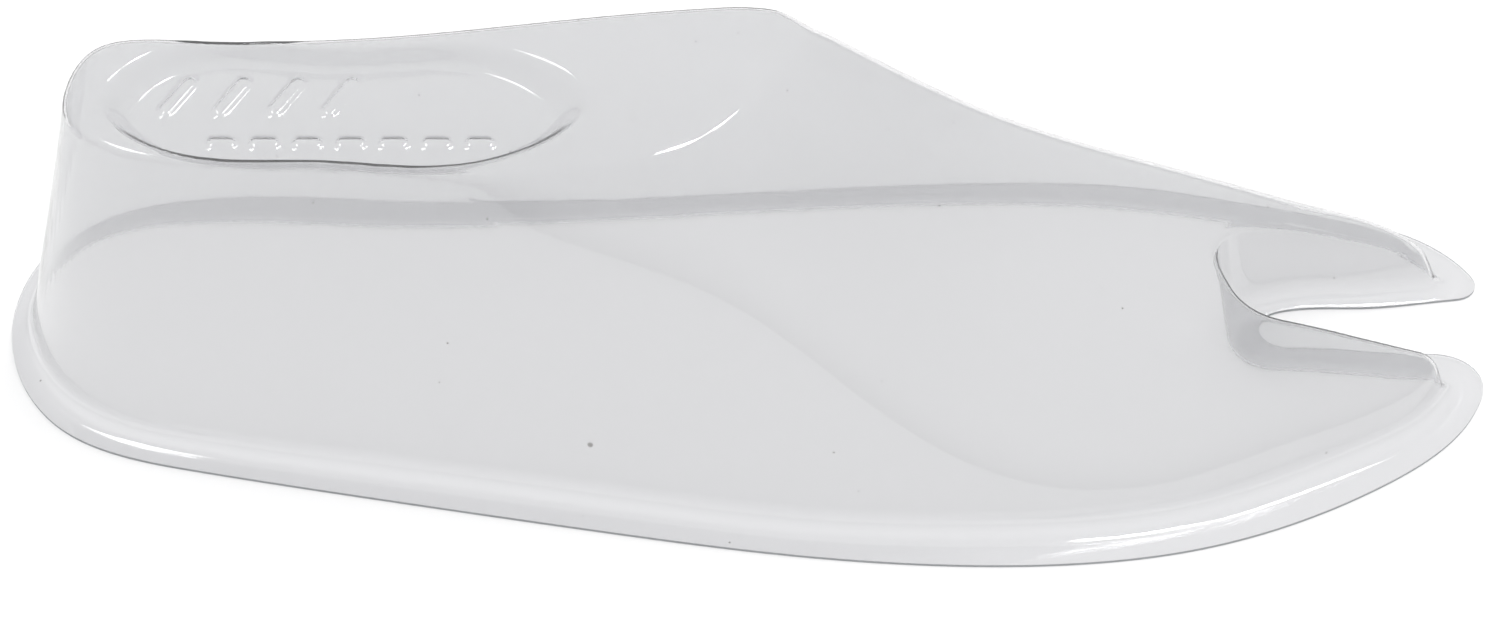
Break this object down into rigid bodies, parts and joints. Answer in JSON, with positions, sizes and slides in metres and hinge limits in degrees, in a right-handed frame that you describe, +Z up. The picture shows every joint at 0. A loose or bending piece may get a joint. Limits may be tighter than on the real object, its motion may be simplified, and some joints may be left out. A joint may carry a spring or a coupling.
{
  "type": "sandal foot form",
  "caption": "Clear thermoformed foot form for a right thong sandal: hollow, open underneath, with a flat flange, a split toe and a recessed flat top.",
  "frame": {"origin": "centre of the footprint, on the underside of the flange", "axes": "+Z up, +X from heel to toes, +Y towards the big-toe side of this right foot"},
  "size_m": [0.2397, 0.082, 0.057],
  "materials": {
    "clear_sheet": "clear glossy formed sheet"
  },
  "bodies": {
    "root": {"foot_form_shell": "clear_sheet"}
  },
  "joints": []
}
